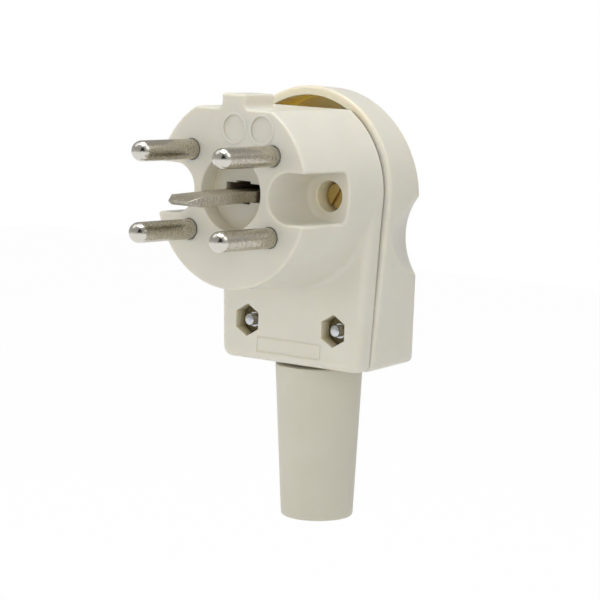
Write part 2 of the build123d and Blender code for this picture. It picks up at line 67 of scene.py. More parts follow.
scene.view_settings.view_transform = "Standard"


# Node and colour helpers

def hexLinear(code):
    # sRGB hex to linear RGBA, each channel through the sRGB curve
    channels = np.array([int(code[i:i + 2], 16) for i in (1, 3, 5)]) / 255
    linear = np.where(channels <= 0.04045, channels / 12.92, ((channels + 0.055) / 1.055) ** 2.4)
    return (*linear.tolist(), 1.0)


def addNode(tree, kind, inputs=None, **settings):
    # one node with its settings; an input is a plain value or another node's output
    node = tree.nodes.new(kind)
    for name, value in settings.items():
        setattr(node, name, value)
    for socket, value in (inputs or {}).items():
        if isinstance(value, bpy.types.NodeSocket):
            tree.links.new(value, node.inputs[socket])
        else:
            node.inputs[socket].default_value = value
    return node


def startMaterial(name):
    material = bpy.data.materials.new(name)
    material.use_nodes = True
    material.node_tree.nodes.clear()
    return material, material.node_tree


def closeMaterial(tree, inputs):
    # the surface shader, and the output it feeds
    shader = addNode(tree, "ShaderNodeBsdfPrincipled", inputs)
    addNode(tree, "ShaderNodeOutputMaterial", {"Surface": shader.outputs[0]})


def objectPlace(tree):
    return addNode(tree, "ShaderNodeTexCoord").outputs["Object"]


def noise(tree, place, featureMm, detail):
    # noise from 0 to 1, with features of about this many millimetres
    inputs = {"Vector": place, "Scale": 1 / (featureMm * mm), "Detail": detail}
    return addNode(tree, "ShaderNodeTexNoise", inputs).outputs["Fac"]


def maths(tree, operation, *values):
    return addNode(tree, "ShaderNodeMath", dict(enumerate(values)), operation=operation).outputs[0]


def ramp(tree, value, span=(0.0, 1.0), ends=(0.0, 1.0)):
    # a straight run from one end to the other while the value crosses the span, and level beyond it
    inputs = {"Value": value, "From Min": span[0], "From Max": span[1], "To Min": ends[0], "To Max": ends[1]}
    return addNode(tree, "ShaderNodeMapRange", inputs).outputs[0]


def rampMm(tree, value, spanMm, ends=(0.0, 1.0)):
    return ramp(tree, value, [edge * mm for edge in spanMm], ends)


def between(tree, share, first, second):
    # a number between two ends
    return addNode(tree, "ShaderNodeMix", {0: share, 2: first, 3: second}).outputs[0]


def blend(tree, share, first, second):
    # a colour between two ends; each is a hex code or another node's colour
    ends = [hexLinear(end) if isinstance(end, str) else end for end in (first, second)]
    return addNode(tree, "ShaderNodeMix", {0: share, 6: ends[0], 7: ends[1]}, data_type="RGBA").outputs[2]


def bump(tree, height, depthMm, strength, normal=None):
    # the normal tilted by a height, from the surface's own normal or from another node's
    inputs = {"Height": height, "Distance": depthMm * mm, "Strength": strength}
    if normal is not None:
        inputs["Normal"] = normal
    return addNode(tree, "ShaderNodeBump", inputs).outputs["Normal"]


# Materials

# Moulded ivory thermoplastic: a warm off-white that lets a little light in, semi-gloss, with the
# faint cloudiness of the pigment and the fine tooth of a spark-eroded mould. Deep pockets get amber
# light painted into their colour, for light that reaches them only through the walls: occlusion within
# the piece marks them. Only under the thin arch over the finger pocket does the pocket scatter more light,
# and the arch's rim gets a paler, warmer glow painted into its colour. Painted shade darkens the seam,
# along the rear edge of the front housing, and deeper in the blade's slot and the nut pockets
ivory = {
    "pale": "#E3E0D4",
    "deep": "#DDD9CA",
    "paintedPocketLight": "#ECDFB4",
    "cloudMm": 9.0,
    "grainMm": 0.45,
    "waveMm": 7.0,
    "bevelMm": 0.12,
    "sinkMm": 0.05,
    "toothMm": 0.012,
    "rough": (0.32, 0.46),
    "scatter": (0.5, 1.0),  # weight on open faces, in deep pockets
    "scatterMm": (2.2, 5.2),
    "pocketReachMm": 9.0,
    "openness": (0.52, 0.2),  # occlusion where the painted pocket light starts, where it is full
    "arch": "#E6DEC8",
    "archZMm": (12.0, 19.0),  # height where the arch's painted glow and extra scatter start, where they are full
    "archFrontMm": 29.995,
    "archYMm": (31.6, 30.3),  # depth where the painted glow of the rim ends, where it is full
    # dark brown shade painted along the seam, for the gap between the two halves
    "paintedSeamShade": "#6A5226",
    "seamMm": (29.44, 29.64),  # depth where the painted seam shade starts, where it is full
    "seamEndMm": 29.99,
    "seamTopMm": 19.8,
    "seamFadeMm": (-42.0, 8.0),  # height where the least painted shade lies, where it is full
    "seamLeast": 0.1,
    "seamScatterMm": (26.5, 29.4),  # depth where the scatter starts to fade, where it is gone
    # hollows with painted shade: middle and half size across and up, depth where it starts and is full, its
    # share
    "hollowsMm": [
        {"middle": (0.0, 0.0), "half": (9.0, 5.0), "depth": (5.08, 7.0), "share": 0.8},
        {"middle": clampSpot, "half": (4.2, 4.2), "depth": (25.3, 28.3), "share": 0.4},
    ],
}


def addPaintedShade(tree, axes, onFront):
    # share of painted shade on the front housing: dark in the seam's gap, thinner lower down, or deeper in a
    # hollow, whichever is more
    paintedShade = rampMm(tree, axes["Y"], ivory["seamMm"])
    under = maths(tree, "LESS_THAN", axes["Z"], ivory["seamTopMm"] * mm)
    thinning = rampMm(tree, axes["Z"], ivory["seamFadeMm"], (ivory["seamLeast"], 1.0))
    for share in (onFront, under, thinning):
        paintedShade = maths(tree, "MULTIPLY", paintedShade, share)
    aside = maths(tree, "ABSOLUTE", axes["X"])
    for hollow in ivory["hollowsMm"]:
        # painted shade, darker with depth in the blade's slot and the nut pockets
        paintedHollowShade = rampMm(tree, axes["Y"], hollow["depth"], (0.0, hollow["share"]))
        for along, middle, half in zip((aside, axes["Z"]), hollow["middle"], hollow["half"]):
            within = maths(tree, "COMPARE", along, middle * mm, half * mm)
            paintedHollowShade = maths(tree, "MULTIPLY", paintedHollowShade, within)
        paintedHollowShade = maths(tree, "MULTIPLY", paintedHollowShade, onFront)
        paintedShade = maths(tree, "MAXIMUM", paintedShade, paintedHollowShade)
    return paintedShade


def makeIvory(name, scatter=None):
    material, tree = startMaterial(name)
    place = objectPlace(tree)
    cloud = noise(tree, place, ivory["cloudMm"], 3.0)
    grain = noise(tree, place, ivory["grainMm"], 2.0)
    wave = noise(tree, place, ivory["waveMm"], 1.0)
    occlusion = addNode(tree, "ShaderNodeAmbientOcclusion",
                        {"Distance": ivory["pocketReachMm"] * mm}, samples=6, only_local=True)
    # share of deep pocket: amber light is painted into the colour here, and more light scatters under the
    # arch
    inside = ramp(tree, occlusion.outputs["AO"], ivory["openness"])
    axes = addNode(tree, "ShaderNodeSeparateXYZ", {0: place}).outputs
    arch = rampMm(tree, axes["Z"], ivory["archZMm"])
    glowing = maths(tree, "MULTIPLY", inside, arch)
    # the arch's rim in the cover: a paler, warmer glow is painted into its colour here
    behind = maths(tree, "GREATER_THAN", axes["Y"], ivory["archFrontMm"] * mm)
    rim = maths(tree, "MULTIPLY", behind, rampMm(tree, axes["Y"], ivory["archYMm"]))
    rim = maths(tree, "MULTIPLY", rim, arch)
    onFront = maths(tree, "LESS_THAN", axes["Y"], ivory["seamEndMm"] * mm)
    # painted shade: dark brown in the seam's gap, and darker deep in the blade's slot and the nut pockets
    paintedShade = addPaintedShade(tree, axes, onFront)
    colour = blend(tree, cloud, ivory["pale"], ivory["deep"])
    # painted into the colour: the arch rim's glow, the pockets' amber light, and the seam and hollow shade
    for share, tint in ((rim, "arch"), (inside, "paintedPocketLight"), (paintedShade, "paintedSeamShade")):
        colour = blend(tree, share, colour, ivory[tint])
    rough = between(tree, paintedShade, ramp(tree, grain, ends=ivory["rough"]), 1.0)
    soft = addNode(tree, "ShaderNodeBevel", {"Radius": ivory["bevelMm"] * mm}, samples=6).outputs["Normal"]
    sunken = bump(tree, wave, ivory["sinkMm"], 0.5, soft)
    toothed = bump(tree, grain, ivory["toothMm"], 0.6, sunken)
    inputs = {"Base Color": colour, "Roughness": rough, "IOR": 1.5,
              "Subsurface Radius": (1.0, 0.75, 0.4), "Normal": toothed}
    if scatter:
        # no scatter beside the seam, where the painted seam shade would draw the red out of the ivory
        near = maths(tree, "MULTIPLY", rampMm(tree, axes["Y"], ivory["seamScatterMm"]), onFront)
        clean = maths(tree, "SUBTRACT", 1.0, near)
        inputs["Subsurface Weight"] = maths(tree, "MULTIPLY", ramp(tree, glowing, ends=scatter), clean)
        inputs["Subsurface Scale"] = ramp(tree, glowing, ends=[reach * mm for reach in ivory["scatterMm"]])
    closeMaterial(tree, inputs)
    return material


mouldedIvory = makeIvory("mouldedIvoryThermoplastic", ivory["scatter"])

# Moulded cream sleeve: softer vinyl, yellower and more satin than the housing
cream = {
    "pale": "#D8D4C4", "deep": "#D0CCBA", "cloudMm": 12.0, "grainMm": 0.5, "toothMm": 0.015,
    "rough": (0.42, 0.56), "scatter": 0.2, "scatterMm": 1.2,
}


def makeCream():
    material, tree = startMaterial("mouldedCreamVinyl")
    place = objectPlace(tree)
    cloud = noise(tree, place, cream["cloudMm"], 2.0)
    grain = noise(tree, place, cream["grainMm"], 3.0)
    closeMaterial(tree, {
        "Base Color": blend(tree, cloud, cream["pale"], cream["deep"]),
        "Roughness": ramp(tree, grain, ends=cream["rough"]), "IOR": 1.52,
        "Subsurface Weight": cream["scatter"], "Subsurface Radius": (1.0, 0.8, 0.5),
        "Subsurface Scale": cream["scatterMm"] * mm, "Normal": bump(tree, grain, cream["toothMm"], 0.5)})
    return material


mouldedCream = makeCream()

# Nickel-plated brass: turned shanks with fine rings and a granular satin plate; on the pins the
# dome in front of the shank is polished bright
nickel = {
    "pale": "#D9D4C8", "deep": "#9E9787", "polish": "#D8D4CC", "grainMm": 0.3, "ringMm": 0.16,
    "ringStretch": (0.06, 1.0, 0.06), "ringShare": 0.4, "contrast": (0.36, 0.64),
    "pinRough": (0.18, 0.38), "bladeRough": (0.3, 0.5), "toothMm": 0.012, "tooth": 0.7,
    "domeRough": 0.22, "domeTooth": 0.5, "domeBlendMm": 0.05,
}


def makeNickel(name, rough, domeEnd=None):
    # domeEnd is the depth where a polished dome gives way to the satin shank
    material, tree = startMaterial(name)
    place = objectPlace(tree)
    grain = noise(tree, place, nickel["grainMm"], 3.0)
    stretched = addNode(tree, "ShaderNodeMapping", {"Vector": place, "Scale": nickel["ringStretch"]})
    rings = noise(tree, stretched.outputs[0], nickel["ringMm"], 2.0)
    plate = ramp(tree, between(tree, nickel["ringShare"], grain, rings), nickel["contrast"])
    colour = blend(tree, plate, nickel["pale"], nickel["deep"])
    roughness = ramp(tree, plate, ends=rough)
    strength = nickel["tooth"]
    if domeEnd is not None:
        depth = addNode(tree, "ShaderNodeSeparateXYZ", {0: place}).outputs["Y"]
        shank = ramp(tree, depth, (domeEnd, domeEnd + nickel["domeBlendMm"] * mm))
        colour = blend(tree, shank, nickel["polish"], colour)
        roughness = between(tree, shank, nickel["domeRough"], roughness)
        strength = ramp(tree, shank, ends=(nickel["domeTooth"], nickel["tooth"]))
    closeMaterial(tree, {"Base Color": colour, "Metallic": 1.0, "Roughness": roughness,
                         "Normal": bump(tree, plate, nickel["toothMm"], strength)})
    return material


satinNickel = makeNickel("satinNickelBlade", nickel["bladeRough"])

# Turned brass and zinc-plated steel: small hardware with fine tool marks, the nuts darker and browner
hardware = {
    "turnedBrass": {"pale": "#DCC489", "deep": "#B4975A", "rough": (0.22, 0.42), "grainMm": 0.5},
    "brightZincSteel": {"pale": "#E2E4E6", "deep": "#B9BDC2", "rough": (0.16, 0.34), "grainMm": 0.4},
    "darkZincSteel": {"pale": "#8C8468", "deep": "#5E573F", "rough": (0.4, 0.6), "grainMm": 0.4},
}
hardwareToothMm = 0.01


def makeHardware(name):
    finish = hardware[name]
    material, tree = startMaterial(name)
    grain = noise(tree, objectPlace(tree), finish["grainMm"], 4.0)
    closeMaterial(tree, {
        "Base Color": blend(tree, grain, finish["pale"], finish["deep"]), "Metallic": 1.0,
        "Roughness": ramp(tree, grain, ends=finish["rough"]),
        "Normal": bump(tree, grain, hardwareToothMm, 0.5)})
    return material


turnedBrass = makeHardware("turnedBrass")
brightZinc = makeHardware("brightZincSteel")
darkZinc = makeHardware("darkZincSteel")

# Moulded filled thermoset of the hidden carriers: matt, with coarse filler flecks
innerPlastic = {"pale": "#D6D1C4", "deep": "#BDB7A8", "fleckMm": 0.8, "toothMm": 0.02, "rough": 0.6}


def makeInner():
    material, tree = startMaterial("mouldedFilledThermoset")
    fleck = noise(tree, objectPlace(tree), innerPlastic["fleckMm"], 4.0)
    closeMaterial(tree, {
        "Base Color": blend(tree, fleck, innerPlastic["pale"], innerPlastic["deep"]),
        "Roughness": innerPlastic["rough"], "IOR": 1.55,
        "Normal": bump(tree, fleck, innerPlastic["toothMm"], 0.4)})
    return material


filledThermoset = makeInner()
print("materials made")


# Shape helpers: all sizes in millimetres

def roundedPath(corners, closed=False, steps=6, gap=1.5):
    # corners are (x, y, radius); each becomes a parabola tangent to both sides, from P + t u over P to
    # P + t v, and straight runs are filled with points no further apart than gap
    points = np.array([corner[:2] for corner in corners], float)
    s = np.linspace(0, 1, steps)[:, None]
    bends = []
    for i, (_, _, radius) in enumerate(corners):
        corner = points[i]
        if radius == 0:
            bends.append(corner[None])
            continue
        back = points[i - 1] - corner
        ahead = points[(i + 1) % len(points)] - corner
        back, ahead = back / np.linalg.norm(back), ahead / np.linalg.norm(ahead)
        half = np.arccos(np.clip(back @ ahead, -1, 1)) / 2
        reach = radius / np.tan(half)
        start, end = corner + back * reach, corner + ahead * reach
        bends.append((1 - s) ** 2 * start + 2 * s * (1 - s) * corner + s ** 2 * end)
    path = []
    for bend, following in zip(bends, bends[1:] + (bends[:1] if closed else [None])):
        path.append(bend)
        if following is None:
            continue
        length = np.linalg.norm(following[0] - bend[-1])
        count = int(np.ceil(length / gap))
        share = np.linspace(0, 1, count + 1)[1:-1, None]
        path.append(bend[-1] + share * (following[0] - bend[-1]))
    return np.concatenate(path)


def lathe(profile, columns):
    # each profile point (radius, along) turned through a circle: (r cos t, r sin t, along)
    turn = np.linspace(0, 2 * pi, columns, endpoint=False)
    radius, along = profile[:, :1], profile[:, 1:]
    return np.stack([radius * np.cos(turn), radius * np.sin(turn), along + 0 * turn], axis=-1)


def placed(grid, origin, xAxis, zAxis):
    # local (x, y, z) to the frame: origin + x X + y (Z x X) + z Z
    xAxis, zAxis = np.array(xAxis, float), np.array(zAxis, float)
    return np.array(origin) + grid @ np.stack([xAxis, np.cross(zAxis, xAxis), zAxis])


def pieceFromGrids(name, grids, material, loop=False, sharp=40):
    # every grid is rows of rings: quads join neighbouring rings, and the ends are closed by the first
    # ring again (loop) or by a fan to the middle of the end ring
    vertices, faces, start = [], [], 0
    for grid in grids:
        rows, columns, _ = grid.shape
        index = start + np.arange(rows * columns).reshape(rows, columns)
        lower, upper = (index, np.roll(index, -1, axis=0)) if loop else (index[:-1], index[1:])
        quads = np.stack([lower, np.roll(lower, -1, axis=1), np.roll(upper, -1, axis=1), upper], axis=-1)
        vertices.append(grid.reshape(-1, 3))
        faces += quads.reshape(-1, 4).tolist()
        start += rows * columns
        if not loop:
            for ring, turned in ((index[0], 1), (index[-1], -1)):
                vertices.append(grid.reshape(-1, 3)[ring - index[0, 0]].mean(axis=0)[None])
                fan = np.stack([np.full(columns, start), np.roll(ring, -turned), ring], axis=-1)
                faces += fan.tolist()
                start += 1
    mesh = bpy.data.meshes.new(name)
    mesh.from_pydata((np.concatenate(vertices) * mm).tolist(), [], faces)
    shell = bmesh.new()
    shell.from_mesh(mesh)
    bmesh.ops.remove_doubles(shell, verts=shell.verts, dist=1e-7)
    bmesh.ops.recalc_face_normals(shell, faces=shell.faces)
    shell.to_mesh(mesh)
    shell.free()
    mesh.shade_smooth()
    mesh.set_sharp_from_angle(angle=radians(sharp))
    mesh.materials.append(material)
    piece = bpy.data.objects.new(name, mesh)
    scene.collection.objects.link(piece)
    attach(piece, "root")
    return piece


def softenEdges(piece, width, segments=3, angle=25):
    # rounds the edges that turn by more than the angle
    bevel = piece.modifiers.new("softEdges", "BEVEL")
    bevel.width = width * mm
    bevel.segments = segments
    bevel.limit_method = "ANGLE"
    bevel.angle_limit = radians(angle)
    bevel.harden_normals = True
    return piece


# Contact pins: a lathe profile from the dome to the terminal head, one piece for each node
pin = {
    "shank": 2.5, "neck": 2.35, "collar": 4.2, "collarLength": 2.5, "head": 3.6, "headLength": 5.0,
    "bore": 1.8, "boreDepth": 6.0, "boreCentre": 0.02, "sunk": 0.6, "soft": 0.2, "blunt": 0.1, "crisp": 0.05,
    "poleAngle": 0.02, "domeSteps": 28, "columns": 96,
}
pinNodes = ["pin_upper_left", "pin_upper_right", "pin_lower_left", "pin_lower_right"]
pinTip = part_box(pinNodes[0])[0].y / mm
turnedNickel = makeNickel("turnedNickelPin", nickel["pinRough"], (pinTip + pin["shank"]) * mm)

for nodeName in pinNodes:
    low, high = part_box(nodeName)
    centre = (low + high) / 2 / mm
    tip, back = low.y / mm, high.y / mm
    headFront = back - pin["headLength"]
    collarFront = headFront - pin["collarLength"]
    boreEnd = back - pin["boreDepth"]
    rise = np.linspace(pin["poleAngle"], pi / 2, pin["domeSteps"])  # the dome starts just off its pole
    dome = np.stack([np.sin(rise), 1 - np.cos(rise)], axis=-1) * pin["shank"] + [0, tip]
    body = roundedPath([
        (pin["shank"], tip + pin["shank"], 0),
        (pin["shank"], pin["sunk"], pin["blunt"]),
        (pin["neck"], pin["sunk"], pin["crisp"]),
        (pin["neck"], collarFront, pin["crisp"]),
        (pin["collar"], collarFront, pin["soft"]),
        (pin["collar"], headFront, pin["soft"]),
        (pin["head"], headFront, pin["crisp"]),
        (pin["head"], back, pin["soft"]),
        (pin["bore"], back, pin["blunt"]),
        (pin["bore"], boreEnd, pin["blunt"]),
        (pin["boreCentre"], boreEnd, 0),
    ])
    rings = lathe(np.concatenate([dome[:-1], body]), pin["columns"])
    grid = placed(rings, (centre.x, 0, centre.z), (1, 0, 0), (0, 1, 0))
    piece = pieceFromGrids(nodeName.replace("pin", "turnedPin"), [grid], turnedNickel)
    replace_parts(piece, nodeName)
print("pins turned")

# Earth blade: rectangular sections along the drooping blade, bevelled to a ridge at the tip
blade = {
    "width": 9.2, "thickness": 2.4, "reach": 19.0, "droop": 1.7, "sink": 0.6, "tipLength": 3.0,
    "ridgeWidth": 6.0, "ridgeThickness": 0.4, "shoulderWidth": 15.0, "shoulderStart": 13.1,
    "shoulderEnd": 15.4, "blockWidth": 9.0, "blockHeight": 7.0, "blockLength": 5.6, "floor": 5.0,
    "soft": 0.14,
}
bodyReach = blade["reach"] + blade["floor"] - blade["tipLength"]
stations = np.array([
    # reach in front of the recess floor, width, thickness
    (bodyReach + blade["tipLength"], blade["ridgeWidth"], blade["ridgeThickness"]),
    (bodyReach, blade["width"], blade["thickness"]),
    (0, blade["width"], blade["thickness"]),
    (-blade["shoulderStart"], blade["width"], blade["thickness"]),
    (-blade["shoulderStart"], blade["shoulderWidth"], blade["thickness"]),
    (-blade["shoulderEnd"], blade["shoulderWidth"], blade["thickness"]),
    (-blade["shoulderEnd"], blade["blockWidth"], blade["blockHeight"]),
    (-blade["shoulderEnd"] - blade["blockLength"], blade["blockWidth"], blade["blockHeight"]),
])
signs = np.array([(1, 1), (-1, 1), (-1, -1), (1, -1)]) / 2
sections = np.concatenate([
    stations[:, None, 1:] * signs,
    np.repeat(stations[:, :1], 4, axis=1)[..., None],
], axis=-1)
droop = radians(blade["droop"])
bladeGrid = placed(sections, (0, blade["floor"], -blade["sink"]), (1, 0, 0), (0, -cos(droop), -sin(droop)))
piece = pieceFromGrids("satinEarthBlade", [bladeGrid], satinNickel, sharp=20)
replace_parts(softenEdges(piece, blade["soft"]), "earth_blade")
print("earth blade shaped")

# Cable sleeve: a closed tube profile turned about its leaning axis
sleeve = {
    "setback": 37.8, "drop": 43.5, "lean": 2.3, "gap": 0.5, "length": 38.7, "top": 10.95, "end": 9.025,
    "bore": 5.6, "neck": 7.0, "flange": 8.1, "flangeThickness": 1.4, "boreRound": 0.3, "flangeRound": 0.2,
    "neckRound": 0.1, "endRound": 0.8, "shoulder": 0.5, "columns": 160,
}
lean = radians(sleeve["lean"])
flangeBack = (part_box("cable_sleeve")[1].z / mm + sleeve["drop"] - sleeve["flange"] * sin(lean)) / cos(lean)
flangeFront = -flangeBack + sleeve["flangeThickness"]
sleeveEnd = sleeve["gap"] + sleeve["length"]
tube = roundedPath([
    (sleeve["bore"], -flangeBack, sleeve["boreRound"]),
    (sleeve["flange"], -flangeBack, sleeve["flangeRound"]),
    (sleeve["flange"], flangeFront, sleeve["flangeRound"]),
    (sleeve["neck"], flangeFront, sleeve["neckRound"]),
    (sleeve["neck"], sleeve["gap"], sleeve["neckRound"]),
    (sleeve["top"], sleeve["gap"], sleeve["shoulder"]),
    (sleeve["end"], sleeveEnd, sleeve["endRound"]),
    (sleeve["bore"], sleeveEnd, sleeve["endRound"]),
], closed=True)
sleeveTop, sleeveAxis = (0, sleeve["setback"], -sleeve["drop"]), (0, sin(lean), -cos(lean))
sleeveGrid = placed(lathe(tube, sleeve["columns"]), sleeveTop, (1, 0, 0), sleeveAxis)
piece = pieceFromGrids("mouldedCableSleeve", [sleeveGrid], mouldedCream, loop=True)
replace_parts(piece, "cable_sleeve")
print("cable sleeve turned")


# Slotted screws: a ruled head cut by its slot, on a shank whose radius follows the thread's helix

def slottedHead(radius, height, slotWidth, slotShare, angle, rows=40, lastStrip=89.4):
    # strips across the slot: at each x the strip spans the chord of the circle, and its top drops by the
    # slot's depth where x is inside the slot, so the two slot walls are pairs of strips at one x
    side = np.sin(np.linspace(np.arcsin(slotWidth / 2 / radius), radians(lastStrip), rows)) * radius
    inner = np.array([-slotWidth / 2, slotWidth / 2])
    x = np.concatenate([-side[::-1], inner, side])
    depth = np.concatenate([0 * side, inner * 0 + slotShare * height, 0 * side])
    chord = np.sqrt(radius ** 2 - x ** 2)
    top = height - depth
    flat = 0 * x
    strips = np.stack([
        np.stack([x, -chord, flat], axis=-1),
        np.stack([x, -chord, top], axis=-1),
        np.stack([x, chord, top], axis=-1),
        np.stack([x, chord, flat], axis=-1),
    ], axis=1)
    turn = radians(angle - 90)
    across = np.array([[cos(turn), sin(turn), 0], [-sin(turn), cos(turn), 0], [0, 0, 1]])
    return strips @ across


def threadedShank(radius, length, pitch, depth, tip, columns=64, perTurn=12, steepness=1.35, crest=0.15):
    # radius by helix: R - depth * ridge(z / pitch + t / 2 pi), where ridge is a triangle wave cut flat at
    # crest and root; the tip is turned plain, by its own profile of radius and height over the end
    tipRadius, tipHeight = np.array(tip).T
    threaded = length - tipHeight[0]
    body = np.linspace(0, -threaded, int(threaded / pitch * perTurn))
    turn = np.linspace(0, 2 * pi, columns, endpoint=False)[None]
    phase = (body[:, None] / pitch + turn / (2 * pi)) % 1
    ridge = np.clip(np.abs(2 * phase - 1) * steepness - crest, 0, 1)
    r = np.concatenate([radius - depth * ridge, tipRadius[:, None] + 0 * turn])
    z = np.concatenate([body, tipHeight - length])[:, None] + 0 * turn
    return np.stack([r * np.cos(turn), r * np.sin(turn), z], axis=-1)


clampPlaces = [(-clampSpot[0], clampSpot[1]), clampSpot]
screwSets = {
    "brassHousingScrews": {
        "node": "housing_screws", "material": turnedBrass, "slot": "brass", "places": [(-17.4, 0), (17.4, 0)],
        "seat": 21.8, "facing": (0, -1, 0), "thread": 1.75, "length": 16.2, "pitch": 0.6, "depth": 0.3,
        "head": 3.0, "height": 2.2, "slotWidth": 0.9, "slotShare": 0.45, "angle": 59.0,
        "tip": [(1.4, 1.0), (1.4, 0.3), (1.1, 0)],
    },
    "zincClampScrews": {
        "node": "clamp_screws", "material": brightZinc, "slot": "zinc_steel", "places": clampPlaces,
        "seat": 38.0, "facing": (0, 1, 0), "thread": 2.0, "length": 12.3, "pitch": 0.7, "depth": 0.36,
        "head": 3.5, "height": 2.6, "slotWidth": 0.9, "slotShare": 0.45, "angle": 0.0,
        "tip": [(1.44, 2.1), (1.3, 1.85), (1.44, 1.6), (1.3, 1.35), (1.44, 1.1), (1.3, 0.85), (1.44, 0.6),
                (1.38, 0.25), (1.15, 0.09), (0.7, 0.02), (0.3, 0)],
    },
}
for name, screw in screwSets.items():
    head = slottedHead(screw["head"], screw["height"], screw["slotWidth"], screw["slotShare"], screw["angle"])
    shank = threadedShank(screw["thread"], screw["length"], screw["pitch"], screw["depth"], screw["tip"])
    grids = [placed(part, (x, screw["seat"], z), (1, 0, 0), screw["facing"])
             for x, z in screw["places"] for part in (head, shank)]
    piece = pieceFromGrids(name, grids, screw["material"], sharp=35)
    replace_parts(piece, screw["node"])
print("screws cut")

# Clamp nuts: hexagon by r(t) = flat / cos(t to the nearest flat), both rims cut by a 30 degree cone
nut = {"node": "clamp_nuts", "flat": 3.5, "bore": 2.05, "thickness": 3.2, "seat": 31.5, "cone": 30.0,
       "rimShare": 0.97, "columns": 96}
turn = np.linspace(0, 2 * pi, nut["columns"], endpoint=False)
hexRadius = nut["flat"] / np.cos((turn + pi / 6) % (pi / 3) - pi / 6)
rim = nut["rimShare"] * nut["flat"] + 0 * turn
fall = (hexRadius - rim) * tan(radians(nut["cone"]))
bore = nut["bore"] + 0 * turn
bottom, top = 0 * turn, nut["thickness"] + 0 * turn
loopRows = [(bore, bottom), (rim, bottom), (hexRadius, fall),
            (hexRadius, top - fall), (rim, top), (bore, top)]
nutRings = np.stack([np.stack([r * np.cos(turn), r * np.sin(turn), z], axis=-1) for r, z in loopRows])
grids = [placed(nutRings, (x, nut["seat"], z), (0, 0, 1), (0, -1, 0)) for x, z in clampPlaces]
piece = pieceFromGrids("zincClampNuts", grids, darkZinc, loop=True, sharp=25)
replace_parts(piece, nut["node"])
print("nuts cut")

# Round marks on the contact face: a low bead round each shallow disc
mark = {"radius": 3.5, "width": 0.7, "rise": 0.12, "foot": 0.15, "places": [(0.4, 15.5), (8.8, 15.5)],
        "columns": 96, "steps": 13}
arc = np.linspace(0, pi, mark["steps"])
halfWidth = mark["width"] / 2
bead = np.stack([mark["radius"] + halfWidth * np.cos(arc), mark["rise"] * np.sin(arc)], axis=-1)
foot = np.array([(mark["radius"] - halfWidth, -mark["foot"]), (mark["radius"] + halfWidth, -mark["foot"])])
beadRings = lathe(np.concatenate([bead, foot]), mark["columns"])
grids = [placed(beadRings, (x, 0, z), (1, 0, 0), (0, -1, 0)) for x, z in mark["places"]]
beadIvory = makeIvory("mouldedIvoryBead")  # too thin to scatter light within itself
pieceFromGrids("mouldedFaceMarks", grids, beadIvory, loop=True)
print("face marks beaded")

# Nodes that keep their own shape get their finish
finishes = {
    "ivory_housing": mouldedIvory,
    "cream_sleeve": mouldedCream,
    "nickel_contact": satinNickel,
    "brass": turnedBrass,
    "zinc_steel": brightZinc,
    "inner_plastic": filledThermoset,
}
for subpart in frame["record"]["subparts"]:
    mesh = frame["nodes"][subpart["node"]].data
    mesh.materials.clear()
    mesh.materials.append(finishes[subpart["material_slot"]])
print("nodes finished")

# Camera: turned about the plug, moved along its own axes and pushed back to the photograph's distance
camera = {
    "azimuth": 37.717, "elevation": 6.679, "roll": 2.326, "right": 16.691, "up": -25.470, "back": 681.779,
    "focalPx": 2861.95, "framePx": 600, "sensor": 36.0,
}
turnZ, tilt, roll = (radians(camera[key]) for key in ("azimuth", "elevation", "roll"))
axisBack = Vector((sin(turnZ) * cos(tilt), -cos(turnZ) * cos(tilt), sin(tilt)))
level = Vector((cos(turnZ), sin(turnZ), 0))
upright = axisBack.cross(level)
axisRight = level * cos(roll) + upright * sin(roll)
axisUp = upright * cos(roll) - level * sin(roll)
cameraPlace = (axisRight * camera["right"] + axisUp * camera["up"] + axisBack * camera["back"]) * mm
lens = bpy.data.cameras.new("photoCamera")
lens.sensor_width = camera["sensor"]
lens.lens = camera["focalPx"] / camera["framePx"] * camera["sensor"]
lens.clip_start = 0.01
cameraObject = bpy.data.objects.new("photoCamera", lens)
pose = Matrix((axisRight, axisUp, axisBack)).transposed().to_4x4()
pose.translation = cameraPlace
cameraObject.matrix_world = pose
scene.collection.objects.link(cameraObject)
scene.camera = cameraObject

# Camera end of the room, seen only in reflections: grey walls round the lens, two soft boxes and the dark
# shape of the camera on its stand. A card stands away from the plug along the camera's right, up and back
cards = {
    "softBoxRight": {"toward": (0.83, 0.52, 0.19), "away": 900.0, "half": 330.0, "corners": 40,
                     "colour": "#FFFFFF", "strength": 1.5},
    "softBoxLeft": {"toward": (-0.59, 0.81, -0.03), "away": 900.0, "half": 330.0, "corners": 40,
                    "colour": "#FFFFFF", "strength": 1.2},
    "cameraStand": {"toward": (0.17, 0.24, 1.0), "away": 800.0, "half": 540.0, "corners": 3,
                    "colour": "#0C0C0D", "strength": 1.0},
}
walls = {"radius": 2600.0, "spread": 172.0, "rows": 24, "columns": 48, "colour": "#A8A7A4", "strength": 1.0,
         "low": "#C0BFBB", "riseMm": (0.0, 800.0)}
cameraAxes = np.array([axisRight, axisUp, axisBack])


